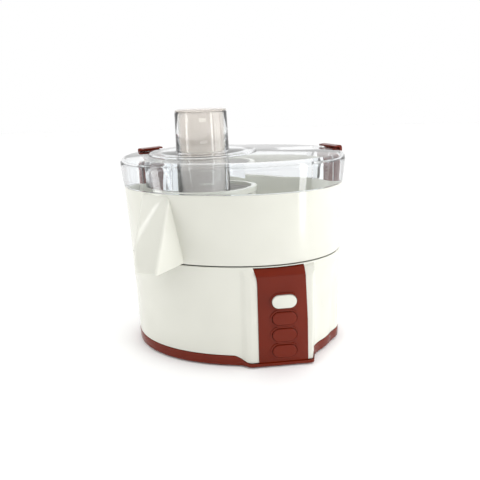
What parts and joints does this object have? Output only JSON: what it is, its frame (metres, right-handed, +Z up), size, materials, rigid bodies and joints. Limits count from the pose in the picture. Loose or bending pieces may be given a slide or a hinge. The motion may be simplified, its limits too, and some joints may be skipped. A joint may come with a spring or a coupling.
{
  "type": "centrifugal juicer",
  "caption": "Centrifugal juicer: oval motor base with flared control tower, white juice bowl with hooded spout, grater basket, clear lid with feed chute, pusher and two rear clamps.",
  "frame": {"origin": "centre of the footprint, spout included, on the surface the juicer stands on", "axes": "+X to the right along the long side of the oval, -Y to the front where the keys are, +Z up"},
  "size_m": [0.29, 0.2396, 0.311],
  "materials": {
    "white_plastic": "moulded warm white ABS, satin gloss",
    "red_brown_plastic": "moulded red-brown ABS, satin gloss",
    "dark_rubber": "soft rubber, matt",
    "steel": "stainless and bright steel",
    "cast_alloy": "die-cast alloy",
    "lamination_steel": "stacked lamination steel",
    "copper": "enamelled copper wire and copper bars",
    "dark_plastic": "dark moulded plastic",
    "clear_plastic": "clear polycarbonate-like plastic, polished",
    "smoky_plastic": "translucent grey-beige plastic, polished"
  },
  "bodies": {
    "base": {"base_tray": "red_brown_plastic", "foot_front_left": "dark_rubber", "foot_rear_left": "dark_rubber", "foot_front_right": "dark_rubber", "foot_rear_right": "dark_rubber", "base_screw_front_left": "steel", "base_screw_rear_left": "steel", "base_screw_front_right": "steel", "base_screw_rear_right": "steel", "motor_housing": "white_plastic", "control_panel": "red_brown_plastic", "switch_bank": "dark_plastic", "cord_inlet": "dark_rubber", "shaft_seal": "dark_rubber", "motor_bracket_upper": "cast_alloy", "motor_bracket_lower": "cast_alloy", "bearing_upper": "steel", "bearing_lower": "steel", "stator_stack": "lamination_steel", "field_coil_upper": "copper", "field_coil_lower": "copper", "carbon_brush_left": "dark_plastic", "carbon_brush_right": "dark_plastic", "motor_bolt_left": "steel", "motor_bolt_right": "steel", "clamp_pin_left": "steel", "clamp_pin_right": "steel"},
    "rotor": {"motor_shaft": "steel", "armature": "lamination_steel", "commutator": "copper", "cooling_fan": "dark_plastic", "drive_coupling": "dark_plastic"},
    "bowl": {"juice_bowl": "white_plastic", "juice_spout": "white_plastic"},
    "basket": {"basket_base": "white_plastic", "filter_mesh": "steel", "grater_disc": "steel", "basket_rim": "white_plastic"},
    "lid": {"juicer_lid": "clear_plastic"},
    "pusher": {"food_pusher": "smoky_plastic"},
    "clamp_left": {"clamp_left": "red_brown_plastic"},
    "clamp_right": {"clamp_right": "red_brown_plastic"},
    "key_stop": {"button_stop": "white_plastic"},
    "key_pulse": {"button_pulse": "red_brown_plastic"},
    "key_low": {"button_low": "red_brown_plastic"},
    "key_high": {"button_high": "red_brown_plastic"}
  },
  "joints": [
    {"name": "rotor_spin", "type": "hinge", "parent": "base", "child": "rotor", "pos_m": [-0.0392, 0.02445, 0.1], "axis": [0, 0, 1], "continuous": true},
    {"name": "bowl_lift", "type": "slide", "parent": "base", "child": "bowl", "axis": [0, 0, 1], "range_m": [0, 0.12]},
    {"name": "basket_spin", "type": "hinge", "parent": "bowl", "child": "basket", "pos_m": [-0.0392, 0.02445, 0.17], "axis": [0, 0, 1], "continuous": true},
    {"name": "lid_lift", "type": "slide", "parent": "bowl", "child": "lid", "axis": [0, 0, 1], "range_m": [0, 0.12]},
    {"name": "pusher_slide", "type": "slide", "parent": "lid", "child": "pusher", "axis": [0, 0, 1], "range_m": [0, 0.13]},
    {"name": "clamp_left_hinge", "type": "hinge", "parent": "base", "child": "clamp_left", "pos_m": [-0.12251, 0.0632, 0.108], "axis": [-0.6033, -0.7975, 0], "range_deg": [0, 60]},
    {"name": "clamp_right_hinge", "type": "hinge", "parent": "base", "child": "clamp_right", "pos_m": [0.12251, 0.0632, 0.108], "axis": [-0.6033, 0.7975, 0], "range_deg": [0, 60]},
    {"name": "key_stop_press", "type": "slide", "parent": "base", "child": "key_stop", "axis": [-0.2689, 0.9632, 0], "range_m": [0, 0.004], "stiffness_N_per_m": 600},
    {"name": "key_pulse_press", "type": "slide", "parent": "base", "child": "key_pulse", "axis": [-0.2689, 0.9632, 0], "range_m": [0, 0.004], "stiffness_N_per_m": 600},
    {"name": "key_low_press", "type": "slide", "parent": "base", "child": "key_low", "axis": [-0.2689, 0.9632, 0], "range_m": [0, 0.004], "stiffness_N_per_m": 600},
    {"name": "key_high_press", "type": "slide", "parent": "base", "child": "key_high", "axis": [-0.2689, 0.9632, 0], "range_m": [0, 0.004], "stiffness_N_per_m": 600}
  ],
  "couplings": [
    {"joint": "basket_spin", "follows": "rotor_spin", "ratio": 1}
  ]
}
